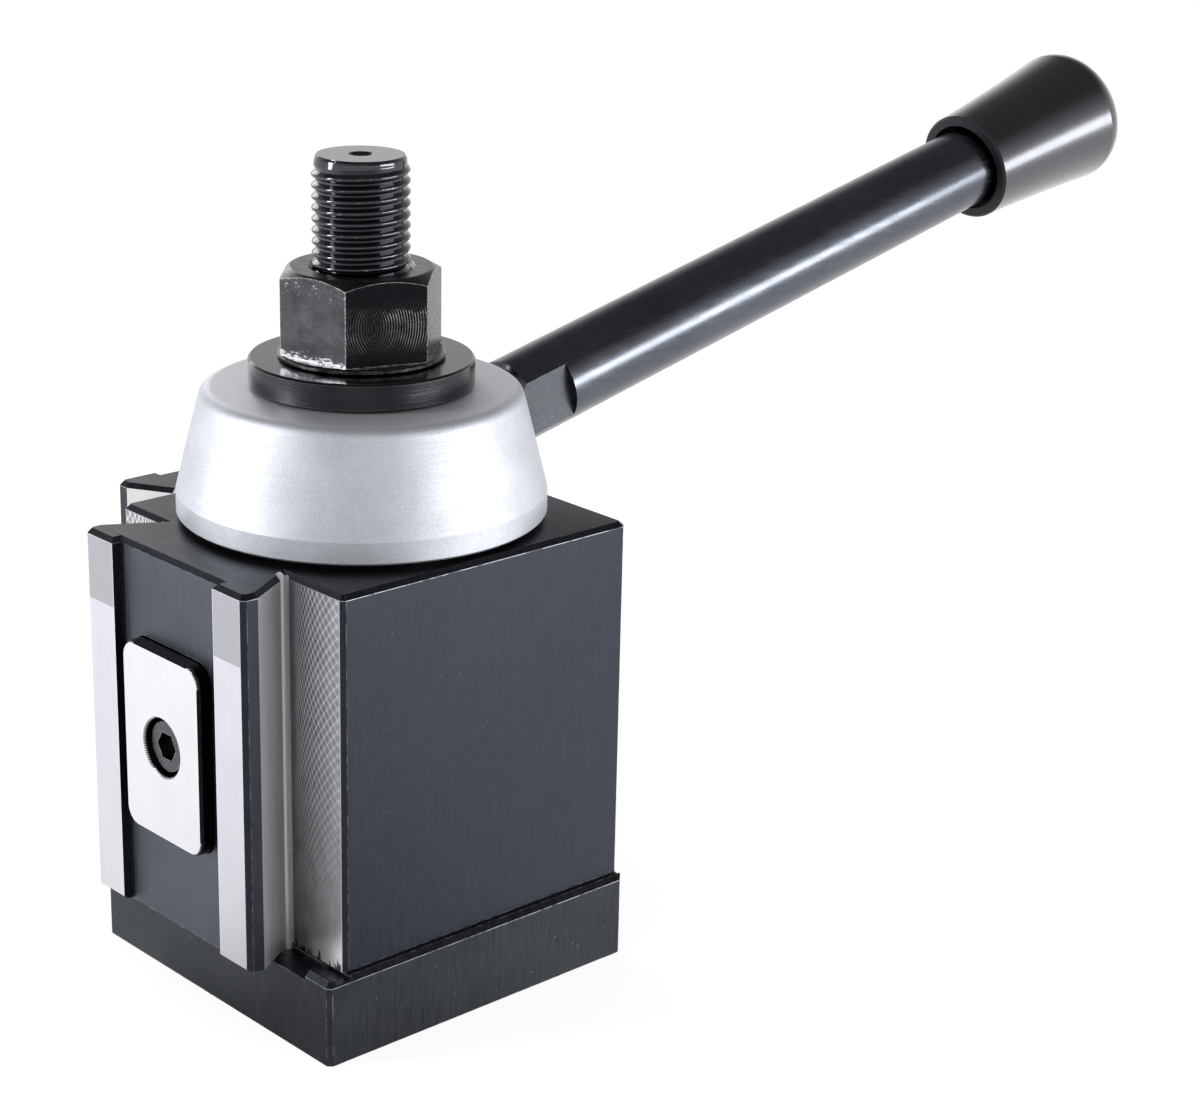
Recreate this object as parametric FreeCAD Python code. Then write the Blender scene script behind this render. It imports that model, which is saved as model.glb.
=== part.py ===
import FreeCAD, Part
import os
from math import asin, atan2, cos, hypot, pi, radians, sin, sqrt, tan

# Quick-change lathe tool post with two dovetails, locked by two pistons on one cam.
# Millimetres, +Z up. The origin is on the stud's axis, in the plane of the foot's underside.
# The front dovetail faces -Y, the side dovetail faces -X, and the plain faces are +X and +Y.

V = FreeCAD.Vector
UP = V(0, 0, 1)
ORIGIN = V(0, 0, 0)
TOUCH = 0.01              # nearer than this counts as the same place

# Fits
running_fit = 0.05        # radial clearance of a turning or sliding steel pair
loose_fit = 0.3           # clearance of pieces that only pass or hang
end_float = 0.1           # play along the axis of turning pieces
groove_play = 0.1         # of the retaining ring in its groove
spare = 1.0               # how far a cutting shape runs past what it cuts

# Post body: a block about the main bore
body_height = 108.0
main_bore_radius = 27.0
main_bore_floor = 30.0
main_bore_mouth = 1.0     # bevel at the bore's top edge
shoulder_wall = 12.0      # from the main bore to the milled face beside each dovetail
right_wall = 16.0         # from the main bore to the plain right face
back_wall = 15.5          # from the main bore to the plain back face
corner_bevel = 1.0
top_bevel = 1.1
sleeve_seat_depth = 8.0   # below the main bore's floor

# Foot
foot_height = 20.2
foot_front_step = 6.0     # in front of the front shoulder
foot_left_step = 3.0
foot_right_step = 2.0
foot_bevel = 1.2
undercut = 0.8            # relief groove where a wall meets the foot, each way from the corner
trench_width = 3.4        # cutter's path along the foot of each shoulder
trench_depth = 0.8

# Dovetails, the same on both faces
dovetail_depth = 16.2     # from the shoulder to the bearing strips
dovetail_half = 30.0      # half the width over the tips
dovetail_side = 4.0       # flat side of a tip, bevel included
dovetail_bevel = 1.1
dovetail_angle = 30.0     # flank, from the direction that the dovetail faces
root_relief_radius = 1.4
root_relief_out = 0.9
root_relief_side = 0.3
channel_half = 19.0
channel_depth = 2.2
strip_end_bevel = 0.9     # at the lower end of the bearing strips
pocket_drop = 2.0         # the cutter's run-out in the foot, below each notch
pocket_width = 13.5

# Clamping stud, nut and washer (M22 x 2.5)
stud_radius = 11.0
stud_clearance = 0.5      # in the body and in the sleeve
stud_lift = 0.5           # the stud's lower end above the foot's underside
stud_above_nut = 24.9
stud_tip_bevel = 1.2
stud_centre_radius = 2.8
stud_centre_depth = 6.0
nut_flats = 33.0
nut_height = 20.6
nut_collar_height = 1.5
nut_collar_inset = 0.2    # inside the corners
nut_collar_bevel = 0.5
nut_face_inset = 0.6      # of the top face's circle, inside the flats
nut_tilt = 11.4           # angle of one corner about the axis
nut_bevel_angle = 30.0
nut_countersink = 1.0
clamp_washer_radius = 25.5
clamp_washer_height = 6.4
clamp_washer_bevel = 0.5

# Centre sleeve and thrust washer
sleeve_wall = 4.5
sleeve_bevel = 0.8
thrust_washer_height = 2.0
thrust_washer_gap = 0.5   # to the main bore's wall
washer_bevel = 0.3

# Cam spindle
piston_height = 64.5      # axis of both pistons above the foot's underside
cam_inset = 4.0           # a lobe's highest point inside the main bore
cam_travel = 1.5          # how far a piston moves
lever_swing = 60.0        # degrees, from locked to open
cam_overrun = 4.0         # degrees of each lobe past both ends of the swing
cam_half_height = 14.0
cam_step = 3.0            # degrees between the points of the lobe's curve
spindle_bevel = 1.0
oil_groove = 1.0          # as deep as it is wide
hub_cover = 4.1           # thickness of the cap over the hub

# Top cap
cap_gap = 1.3             # under the cap
cap_height = 29.0
cap_wall = 15.2           # from the main bore to the cap's skirt
cap_taper = 6.0           # how much smaller the taper's end is than the skirt
cap_skirt_height = 5.2
cap_edge_radius = 3.0
cap_lip_bevel = 0.5

# Handle: its axis leaves the stud's axis and climbs
handle_rise = 8.1         # where it leaves, above the body
handle_azimuth = 90.0
handle_climb = 13.1
handle_radius = 10.4
handle_gap = 3.75         # neck that shows between the cap and the rod's shoulder
handle_length = 174.7
handle_bevel = 0.7
handle_thread_radius = 7.0
handle_flat_depth = 2.4
handle_flat_length = 13.3
knob_thread_radius = 6.0
knob_thread_length = 20.0
thread_bevel = 1.0

# Knob
knob_length = 53.8
knob_recess_depth = 8.0
knob_recess_gap = 1.3
knob_neck_wall = 2.6      # around the recess
knob_rim_bevel = 0.6
knob_flare = 3.45         # from the neck to the widest place
knob_crown_at = 41.9      # widest place, from the knob's near face
knob_bow = 0.08           # how far the flare bows inwards, as a share of it
knob_corner_radius = 6.7  # rounding between the side and the domed end
insert_wall = 3.0
insert_length = 22.0
insert_groove_depth = 0.8

# Pistons and their plates
piston_nose_radius = 10.0
nose_curve_radius = 14.0
guide_length = 4.0        # of the narrow guide between the main bore and the spring's chamber
flange_thickness = 3.0
stem_radius = 8.5
plate_width = 29.2
plate_tall = 44.8
plate_thickness = 4.0
plate_corner = 4.5
plate_bevel = 0.6
plate_proud = 1.2         # in front of the bearing strips when locked
screw_head_radius = 6.5
screw_head_height = 6.35
screw_head_sunk = 1.4
screw_head_gap = 0.25     # round the head, in its counterbore
counterbore_bevel = 0.5
screw_web = 1.75          # of the plate's boss, under the head
screw_radius = 4.0
screw_length = 14.0
screw_bevel = 0.75
socket_flats = 6.0
socket_depth = 3.5
tap_spare = 3.0
spring_wire = 2.2         # across the rectangular wire
spring_wire_height = 1.5
spring_gap = 1.4          # inside and outside the coil
spring_pitch = 3.1
spring_washer_height = 2.0
ring_thickness = 1.2
ring_groove_depth = 1.2
ring_width = 2.1
ring_opening = 70.0       # degrees
ring_lug_radius = 1.7
ring_lug_hole = 0.8

# Worked-out sizes: distances from the stud's axis, heights, and places along the pistons' axes
shoulder = main_bore_radius + shoulder_wall
plain_right = main_bore_radius + right_wall
plain_back = main_bore_radius + back_wall
foot_front = shoulder + foot_front_step
foot_left = shoulder + foot_left_step
foot_right = plain_right + foot_right_step
dovetail_front = shoulder + dovetail_depth
root_half = dovetail_half - (dovetail_depth - dovetail_side) * tan(radians(dovetail_angle))
channel_floor = dovetail_front - channel_depth
stud_hole_radius = stud_radius + stud_clearance
sleeve_radius = stud_hole_radius + sleeve_wall
sleeve_seat_floor = main_bore_floor - sleeve_seat_depth
cap_bottom = body_height + cap_gap
cap_top = cap_bottom + cap_height
cap_radius = main_bore_radius + cap_wall
cap_top_radius = cap_radius - cap_taper
hub_top = cap_top - hub_cover - end_float
sleeve_top = cap_top + loose_fit
nut_bottom = sleeve_top + clamp_washer_height
nut_top = nut_bottom + nut_height
nut_corner = nut_flats / 2 / cos(radians(30))
stud_top = nut_top + stud_above_nut
spindle_bore_radius = sleeve_radius + running_fit
spindle_radius = main_bore_radius - running_fit
spindle_bottom = main_bore_floor + thrust_washer_height + end_float
cam_lock_radius = main_bore_radius - cam_inset
handle_height = body_height + handle_rise
handle_slope = cap_taper / (cap_height - cap_skirt_height)
handle_exit = (cap_radius - (handle_height - cap_bottom - cap_skirt_height) * handle_slope) / (
    cos(radians(handle_climb)) + sin(radians(handle_climb)) * handle_slope
)
handle_thread_start = (spindle_bore_radius + loose_fit) / cos(radians(handle_climb)) + (
    handle_thread_radius * tan(radians(handle_climb))
)
handle_start = handle_exit + handle_gap
handle_end = handle_start + handle_length
knob_start = handle_end - knob_recess_depth
knob_recess_radius = handle_radius + knob_recess_gap
knob_neck_radius = knob_recess_radius + knob_neck_wall
knob_crown_radius = knob_neck_radius + knob_flare
insert_radius = knob_thread_radius + insert_wall
chamber_radius = stem_radius + spring_wire + 2 * spring_gap
chamber_start = main_bore_radius + guide_length
flange_start = chamber_start + cam_travel + loose_fit
spring_start = flange_start + flange_thickness
plate_front = dovetail_front + plate_proud
plate_back = plate_front - plate_thickness
pocket_floor = plate_back - cam_travel - loose_fit
head_top = plate_front - screw_head_sunk
head_seat = head_top - screw_head_height
boss_end = head_seat - screw_web
ring_outer = pocket_floor - cam_travel
spring_washer_outer = ring_outer - ring_thickness
spring_end = spring_washer_outer - spring_washer_height


def cylinder(radius, low, high):
    """Upright cylinder on the stud's axis."""
    return Part.makeCylinder(radius, high - low, V(0, 0, low))


def slab(x_low, x_high, y_low, y_high, z_low, z_high):
    return Part.makeBox(x_high - x_low, y_high - y_low, z_high - z_low, V(x_low, y_low, z_low))


def turned(points):
    """Solid of revolution about Z from a closed outline of (radius, height) points."""
    outline = [V(r, 0, z) for r, z in points]
    face = Part.Face(Part.makePolygon(outline + outline[:1]))
    return face.revolve(ORIGIN, UP, 360)


def prism(points, low, high):
    """Upright prism on a closed outline of (x, y) points."""
    outline = [V(x, y, low) for x, y in points]
    face = Part.Face(Part.makePolygon(outline + outline[:1]))
    return face.extrude(V(0, 0, high - low))


def bevelled_tube(outer, inner, low, high, bevel):
    """Tube on Z with its four end edges bevelled."""
    return turned([
        (inner + bevel, low), (outer - bevel, low), (outer, low + bevel), (outer, high - bevel),
        (outer - bevel, high), (inner + bevel, high), (inner, high - bevel), (inner, low + bevel),
    ])


def on_top(edge, height):
    return edge.BoundBox.ZMin > height - TOUCH


def hexagon(flats, low, high, tilt=0.0):
    corner = flats / 2 / cos(radians(30))
    angles = [radians(tilt + 60 * k) for k in range(6)]
    return prism([(corner * cos(a), corner * sin(a)) for a in angles], low, high)


def to_front(shape):
    """Lays a shape made on Z along the front piston's axis: its height becomes the distance to -Y."""
    shape = shape.copy()
    shape.rotate(ORIGIN, V(1, 0, 0), 90)
    shape.translate(V(0, 0, piston_height))
    return shape


def to_side(shape):
    """The side dovetail's copy of something made for the front one."""
    return shape.mirror(ORIGIN, V(1, -1, 0))


def to_handle(shape):
    """Lays a shape made on Z along the handle's axis, its local X level."""
    shape = shape.copy()
    shape.rotate(ORIGIN, UP, 90)
    shape.rotate(ORIGIN, V(0, 1, 0), 90 - handle_climb)
    shape.rotate(ORIGIN, UP, handle_azimuth)
    shape.translate(V(0, 0, handle_height))
    return shape


def dovetail_outline():
    """The front face's outline, from the left notch to the right one, as (x, y)."""
    tip_back = dovetail_front - dovetail_side
    tip_front = dovetail_front - dovetail_bevel
    half = [
        (channel_half, -channel_floor), (channel_half, -dovetail_front),
        (dovetail_half - dovetail_bevel, -dovetail_front), (dovetail_half, -tip_front),
        (dovetail_half, -tip_back), (root_half, -shoulder),
    ]
    return [(-x, y) for x, y in reversed(half)] + half


def body_outline():
    """The block above the foot, seen from above, counterclockwise from the left corner."""
    front = dovetail_outline()
    side = [(y, x) for x, y in reversed(front)]
    c = corner_bevel
    return (
        [(-shoulder + c, -shoulder)] + front
        + [(plain_right - c, -shoulder), (plain_right, -shoulder + c)]
        + [(plain_right, plain_back - c), (plain_right - c, plain_back)]
        + [(-shoulder + c, plain_back), (-shoulder, plain_back - c)]
        + side + [(-shoulder, -shoulder + c)]
    )


def foot_block():
    c = corner_bevel
    left, right, front, back = -foot_left, foot_right, -foot_front, plain_back
    block = prism([
        (left + c, front), (right - c, front), (right, front + c), (right, back - c),
        (right - c, back), (left + c, back), (left, back - c), (left, front + c),
    ], 0, foot_height)
    top = [
        e for e in block.Edges
        if on_top(e, foot_height) and e.BoundBox.YMin < back - c - TOUCH
    ]
    return block.makeChamfer(foot_bevel, top)


def notch_cuts():
    """Reliefs, cutter run-out and trench on the front face, right and left of the dovetail."""
    pocket = foot_height - pocket_drop
    wall = -shoulder + undercut
    outside = -foot_front - spare
    cuts = []
    for s in (-1, 1):
        relief_at = V(s * (root_half + root_relief_side), -shoulder - root_relief_out, pocket)
        relief = Part.makeCylinder(root_relief_radius, body_height, relief_at)
        near, far = sorted((s * root_half, s * (root_half + pocket_width)))
        run_out = slab(near, far, outside, wall, pocket, foot_height)
        near, far = sorted((s * root_half, s * (foot_right + spare)))
        trench = slab(near, far, -shoulder - trench_width, wall, foot_height - trench_depth, foot_height)
        cuts += [relief, run_out, trench]
    return cuts


def piston_bore():
    """The front piston's stepped bore with the pocket for its plate, as a solid to cut."""
    guide = cylinder(piston_nose_radius + running_fit, 0, chamber_start + spare)
    chamber = cylinder(chamber_radius, chamber_start, dovetail_front)
    groove = cylinder(chamber_radius + ring_groove_depth, spring_washer_outer, ring_outer + groove_play)
    pocket = rounded_plate(loose_fit, pocket_floor, dovetail_front)
    return to_front(guide.fuse([chamber, groove, pocket]))


def rounded_plate(growth, low, high):
    """Rounded rectangle on Z, as wide as the plate plus growth all round."""
    w, t = plate_width / 2 + growth, plate_tall / 2 + growth
    block = slab(-w, w, -t, t, low, high)
    corners = [e for e in block.Edges if abs(e.tangentAt(e.FirstParameter).z) > 0.9]
    return block.makeFillet(plate_corner + growth, corners)


def ends_strip(edge):
    """Whether an edge is the lower end of a bearing strip."""
    box = edge.BoundBox
    low = box.ZMax < foot_height + TOUCH
    return low and min(box.XMax, box.YMax) < TOUCH - dovetail_front


def post_body():
    block = prism(body_outline(), foot_height, body_height)
    rim = [e for e in block.Edges if on_top(e, body_height)]
    block = block.makeChamfer(top_bevel, rim)
    strip_ends = [e for e in block.Edges if ends_strip(e)]
    block = block.makeChamfer(strip_end_bevel, strip_ends).fuse(foot_block()).removeSplitter()
    front_cuts = notch_cuts() + [piston_bore()]
    right_groove = slab(
        plain_right - undercut, plain_right + undercut, -shoulder - spare, plain_back + spare,
        foot_height - undercut / 2, foot_height + undercut / 2,
    )
    top = body_height + spare
    mouth = Part.makeCone(
        main_bore_radius, main_bore_radius + main_bore_mouth, main_bore_mouth,
        V(0, 0, body_height - main_bore_mouth),
    )
    round_cuts = [
        cylinder(stud_hole_radius, -spare, top),
        cylinder(sleeve_radius, sleeve_seat_floor, top),
        cylinder(main_bore_radius, main_bore_floor, top),
        mouth,
    ]
    return block.cut(front_cuts + [to_side(c) for c in front_cuts] + [right_groove] + round_cuts)


def center_sleeve():
    return bevelled_tube(sleeve_radius, stud_hole_radius, sleeve_seat_floor, sleeve_top, sleeve_bevel)


def cam_thrust_washer():
    return bevelled_tube(
        main_bore_radius - thrust_washer_gap, sleeve_radius + loose_fit,
        main_bore_floor, main_bore_floor + thrust_washer_height, washer_bevel,
    )


def lobe_points(contact):
    """One lobe as (angle, radius): at its full radius under the piston when locked, and falling
    evenly along the part that follows as the spindle turns towards open."""
    fall = cam_travel / lever_swing
    steps = int((lever_swing + 2 * cam_overrun) / cam_step)
    turned_by = [-cam_overrun + k * (lever_swing + 2 * cam_overrun) / steps for k in range(steps + 1)]
    return [(contact - q, cam_lock_radius - fall * q) for q in turned_by]


def cam_disc():
    """The two lobes, each an even spiral joined to the next by an arc about the axis."""
    side = lobe_points(180.0)
    front = lobe_points(270.0)
    low = piston_height - cam_half_height
    edges = []
    ends = []
    for lobe in (front, side):
        points = [V(r * cos(radians(a)), r * sin(radians(a)), low) for a, r in lobe]
        curve = Part.BSplineCurve()
        curve.interpolate(points)
        edges.append(curve.toShape())
        ends.append((points[0], points[-1]))
    edges.insert(1, Part.makeLine(ends[0][1], ends[1][0]))
    start, end = ends[1][1], ends[0][0]
    a0 = atan2(start.y, start.x)
    a1 = atan2(end.y, end.x)
    middle_angle = (a0 + a1) / 2
    middle_radius = (hypot(start.x, start.y) + hypot(end.x, end.y)) / 2
    middle = V(middle_radius * cos(middle_angle), middle_radius * sin(middle_angle), low)
    edges.append(Part.Arc(start, middle, end).toShape())
    face = Part.Face(Part.Wire(edges))
    return face.extrude(V(0, 0, 2 * cam_half_height))


def cam_spindle():
    low = piston_height - cam_half_height
    high = piston_height + cam_half_height
    b = spindle_bevel
    lower = turned([
        (0, spindle_bottom), (spindle_radius - b, spindle_bottom), (spindle_radius, spindle_bottom + b),
        (spindle_radius, low - b), (spindle_radius - b, low), (0, low),
    ])
    upper = turned([
        (0, high), (spindle_radius - b, high), (spindle_radius, high + b),
        (spindle_radius, hub_top - b), (spindle_radius - b, hub_top), (0, hub_top),
    ])
    bore = cylinder(spindle_bore_radius, spindle_bottom - spare, hub_top + spare)
    groove_low = (high + body_height - oil_groove) / 2
    groove = cylinder(spindle_radius + spare, groove_low, groove_low + oil_groove)
    groove = groove.cut(cylinder(spindle_radius - oil_groove, groove_low - spare, groove_low + 2 * spare))
    tapped = to_handle(cylinder(handle_thread_radius, 0, handle_start))
    return lower.fuse([cam_disc(), upper]).cut([bore, groove, tapped])


def top_cap():
    low, top = cap_bottom, cap_top
    skirt_top = low + cap_skirt_height
    taper = atan2(top - skirt_top, cap_radius - cap_top_radius)
    # the rounded edge touches the taper and the top face
    set_back = cap_edge_radius * tan(taper / 2)
    arc_centre = (cap_top_radius - set_back, top - cap_edge_radius)
    on_taper = (
        cap_top_radius + set_back * cos(taper),
        top - set_back * sin(taper),
    )
    halfway = (pi / 2 + (pi / 2 - taper)) / 2
    on_arc = (
        arc_centre[0] + cap_edge_radius * cos(halfway),
        arc_centre[1] + cap_edge_radius * sin(halfway),
    )
    on_top = (arc_centre[0], top)
    inner = sleeve_radius + loose_fit
    cavity = spindle_radius + running_fit
    roof = top - hub_cover
    b = cap_lip_bevel

    def at(point):
        return V(point[0], 0, point[1])

    straight = [
        on_top, (inner, top), (inner, roof), (cavity, roof), (cavity, low + b), (cavity + b, low),
        (cap_radius - b, low), (cap_radius, low + b), (cap_radius, skirt_top), on_taper,
    ]
    edges = [Part.makeLine(at(p), at(q)) for p, q in zip(straight, straight[1:])]
    edges.append(Part.Arc(at(on_taper), at(on_arc), at(on_top)).toShape())
    shell = Part.Face(Part.Wire(edges)).revolve(ORIGIN, UP, 360)
    hole = to_handle(cylinder(handle_thread_radius + loose_fit, 0, handle_start))
    return shell.cut(hole)


def handle_rod():
    b, t = handle_bevel, thread_bevel
    tip = handle_end + knob_thread_length
    rod = turned([
        (0, handle_thread_start), (handle_thread_radius - t, handle_thread_start),
        (handle_thread_radius, handle_thread_start + t), (handle_thread_radius, handle_start),
        (handle_radius - b, handle_start), (handle_radius, handle_start + b),
        (handle_radius, handle_end - b), (handle_radius - b, handle_end),
        (knob_thread_radius, handle_end), (knob_thread_radius, tip - t),
        (knob_thread_radius - t, tip), (0, tip),
    ])
    flat = handle_radius - handle_flat_depth
    across = handle_radius + spare
    flats = [
        slab(low, high, -across, across, handle_start - spare, handle_start + handle_flat_length)
        for low, high in ((flat, across), (-across, -flat))
    ]
    thread_core = cylinder(handle_thread_radius, handle_thread_start, handle_start + spare)
    return to_handle(rod.cut([f.cut(thread_core) for f in flats]))


def handle_knob():
    near, far = knob_start, knob_start + knob_length
    crown = near + knob_crown_at
    b = knob_rim_bevel

    def at(r, s):
        return V(r, 0, s)

    neck = at(knob_neck_radius, near + b)
    halfway = at(knob_neck_radius + (0.5 - knob_bow) * knob_flare, near + knob_crown_at / 2)
    side = Part.Arc(neck, halfway, at(knob_crown_radius, crown))
    # the corner's arc and the dome's arc touch, and the dome's centre is on the axis
    inset = knob_crown_radius - knob_corner_radius
    rise = far - crown
    dome_radius = (inset ** 2 + rise ** 2 - knob_corner_radius ** 2) / (2 * (rise - knob_corner_radius))
    lean = asin(inset / (dome_radius - knob_corner_radius))
    dome_centre = far - dome_radius

    def on_dome(angle):
        return at(dome_radius * sin(angle), dome_centre + dome_radius * cos(angle))

    def on_corner(angle):
        return at(inset + knob_corner_radius * sin(angle), crown + knob_corner_radius * cos(angle))

    corner = Part.Arc(on_corner(pi / 2), on_corner((pi / 2 + lean) / 2), on_dome(lean))
    dome = Part.Arc(on_dome(lean), on_dome(lean / 2), at(0, far))
    insert_end = handle_end + insert_length
    outline = [
        at(0, far), at(0, insert_end), at(insert_radius, insert_end), at(insert_radius, handle_end),
        at(knob_recess_radius, handle_end), at(knob_recess_radius, near),
        at(knob_neck_radius - b, near), neck,
    ]
    edges = [Part.makeLine(p, q) for p, q in zip(outline, outline[1:])]
    edges += [side.toShape(), corner.toShape(), dome.toShape()]
    return to_handle(Part.Face(Part.Wire(edges)).revolve(ORIGIN, UP, 360))


def knob_insert():
    r, bore, start = insert_radius, knob_thread_radius, handle_end
    third = insert_length / 3
    bush = turned([
        (bore, start), (r, start), (r, start + third), (r - insert_groove_depth, start + third),
        (r - insert_groove_depth, start + 2 * third), (r, start + 2 * third),
        (r, start + insert_length), (bore, start + insert_length),
    ])
    return to_handle(bush)


def clamp_stud():
    low, high = stud_lift, stud_top
    b = stud_tip_bevel
    rod = turned([
        (0, low), (stud_radius - b, low), (stud_radius, low + b),
        (stud_radius, high - b), (stud_radius - b, high), (0, high),
    ])
    pilot_radius = stud_centre_radius / 2
    pilot = cylinder(pilot_radius, high - stud_centre_depth, high + spare)
    mouth_depth = pilot_radius * sqrt(3)
    mouth = Part.makeCone(pilot_radius, stud_centre_radius, mouth_depth, V(0, 0, high - mouth_depth))
    return rod.cut([pilot, mouth])


def clamp_washer():
    bore = stud_radius + loose_fit
    return bevelled_tube(clamp_washer_radius, bore, sleeve_top, nut_bottom, clamp_washer_bevel)


def clamp_nut():
    low, high = nut_bottom, nut_top
    hex_low = low + nut_collar_height
    collar_radius = nut_corner - nut_collar_inset
    face_radius = nut_flats / 2 - nut_face_inset
    corner = nut_corner + spare
    slope = tan(radians(nut_bevel_angle))
    drop = (corner - face_radius) * slope
    rise = (corner - collar_radius) * slope
    limit = turned([
        (0, hex_low), (collar_radius, hex_low), (corner, hex_low + rise),
        (corner, high - drop), (face_radius, high), (0, high),
    ])
    b = nut_collar_bevel
    collar = turned([
        (0, low), (collar_radius - b, low), (collar_radius, low + b),
        (collar_radius, hex_low - b), (collar_radius - b, hex_low), (0, hex_low),
    ])
    bore_radius = stud_radius + running_fit
    mouth_radius = bore_radius + nut_countersink
    bore = cylinder(bore_radius, low - spare, high + spare)
    mouths = [
        Part.makeCone(bore_radius, mouth_radius, nut_countersink, V(0, 0, high - nut_countersink)),
        Part.makeCone(mouth_radius, bore_radius, nut_countersink, V(0, 0, low)),
    ]
    blank = hexagon(nut_flats, hex_low, high, nut_tilt).common(limit)
    return blank.fuse(collar).cut([bore] + mouths)


def piston():
    """Made on Z: the nose meets the cam, the stem carries the plate."""
    reach = piston_nose_radius
    flange_radius = chamber_radius - running_fit
    body = turned([
        (0, 0), (reach, 0), (reach, flange_start), (flange_radius, flange_start),
        (flange_radius, spring_start), (stem_radius, spring_start), (stem_radius, boss_end), (0, boss_end),
    ])
    # the nose is rounded about a line parallel to the cam's axis
    centre = cam_lock_radius + running_fit + nose_curve_radius
    nose = Part.makeCylinder(nose_curve_radius, 4 * reach, V(0, -2 * reach, centre), V(0, 1, 0))
    behind = cylinder(chamber_radius, flange_start, boss_end)
    tapped = cylinder(screw_radius, head_seat - screw_length - tap_spare, boss_end + spare)
    return to_front(body.common(nose.fuse(behind)).cut(tapped))


def piston_plate():
    plate = rounded_plate(0, plate_back, plate_front)
    rim = [e for e in plate.Edges if on_top(e, plate_front)]
    plate = plate.makeChamfer(plate_bevel, rim)
    boss = cylinder(stem_radius, boss_end, plate_back)
    counterbore_radius = screw_head_radius + screw_head_gap
    b = counterbore_bevel
    counterbore = turned([
        (0, head_seat), (counterbore_radius, head_seat), (counterbore_radius, plate_front - b),
        (counterbore_radius + b, plate_front), (counterbore_radius + b, plate_front + spare),
        (0, plate_front + spare),
    ])
    shank_hole = cylinder(screw_radius + loose_fit, boss_end - spare, head_seat + spare)
    return to_front(plate.fuse(boss).cut([counterbore, shank_hole]))


def piston_screw():
    tip = head_seat - screw_length
    r, s, b = screw_head_radius, screw_radius, screw_bevel
    screw = turned([
        (0, tip), (s - b, tip), (s, tip + b), (s, head_seat), (r, head_seat),
        (r, head_top - b), (r - b, head_top), (0, head_top),
    ])
    socket = hexagon(socket_flats, head_top - socket_depth, head_top + spare)
    return to_front(screw.cut(socket))


def return_spring():
    """Coil of rectangular wire between the piston's flange and the spring washer."""
    inner = stem_radius + spring_gap
    outer = inner + spring_wire
    high = spring_wire_height
    low = spring_start + end_float
    climb = spring_end - end_float - low - high
    corners = [(inner, 0), (outer, 0), (outer, high), (inner, high), (inner, 0)]
    section = Part.makePolygon([V(r, 0, z) for r, z in corners])
    helix = Part.makeHelix(spring_pitch, climb, inner)
    coil = Part.Wire(helix).makePipeShell([section], True, True)
    coil.translate(V(0, 0, low))
    return to_front(coil)


def spring_washer():
    return to_front(bevelled_tube(
        chamber_radius - running_fit, stem_radius + loose_fit, spring_end, spring_washer_outer, washer_bevel,
    ))


def retaining_ring():
    outer = chamber_radius + ring_groove_depth
    low, high = spring_washer_outer, ring_outer
    ring = cylinder(outer, low, high).cut(cylinder(outer - ring_width, low - spare, high + spare))
    half = radians(ring_opening / 2)
    reach = 2 * outer
    wedge = [(0, 0), (reach * sin(half), reach * cos(half)), (-reach * sin(half), reach * cos(half))]
    ring = ring.cut(prism(wedge, low - spare, high + spare))
    lug_at = chamber_radius - running_fit - ring_lug_radius
    lug_angle = half + ring_lug_radius / lug_at
    for s in (-1, 1):
        centre = V(s * lug_at * sin(lug_angle), lug_at * cos(lug_angle), low)
        lug = Part.makeCylinder(ring_lug_radius, high - low, centre)
        hole = Part.makeCylinder(ring_lug_hole, high - low + 2 * spare, centre - UP * spare)
        ring = ring.fuse(lug).cut(hole)
    return to_front(ring)


def main():
    os.makedirs("parts", exist_ok=True)
    nodes = {
        "post_body": post_body(),
        "center_sleeve": center_sleeve(),
        "cam_thrust_washer": cam_thrust_washer(),
        "cam_spindle": cam_spindle(),
        "top_cap": top_cap(),
        "handle_rod": handle_rod(),
        "knob_insert": knob_insert(),
        "handle_knob": handle_knob(),
        "clamp_stud": clamp_stud(),
        "clamp_washer": clamp_washer(),
        "clamp_nut": clamp_nut(),
    }
    piston_set = {
        "piston": piston(),
        "piston_plate": piston_plate(),
        "piston_screw": piston_screw(),
        "return_spring": return_spring(),
        "spring_washer": spring_washer(),
        "retaining_ring": retaining_ring(),
    }
    for name, shape in piston_set.items():
        nodes["front_" + name] = shape
        nodes["side_" + name] = to_side(shape)
    for name, shape in nodes.items():
        if not shape.isValid() or len(shape.Solids) != 1:
            print("CHECK", name, shape.isValid(), len(shape.Solids))
        shape.exportStep("parts/" + name + ".step")
        box = shape.BoundBox
        print(f"{name:22s} {shape.Volume / 1000:9.3f} cm3  z {box.ZMin:7.2f} to {box.ZMax:7.2f}")


main()
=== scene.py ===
# %% [markdown]
# # A quick-change tool post, dressed for its portrait
#
# The post's solids arrive as a finished model, so this script only gives them their looks: it
# finishes every surface, cuts the thread on the stud, sets up a pale studio and places a camera.
# Lengths are written in millimetres and turned to metres where Blender needs them.

# %% Load the frame
from math import cos, hypot, pi, radians, sin

import bmesh
import bpy
from mathutils import Matrix, Vector


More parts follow.
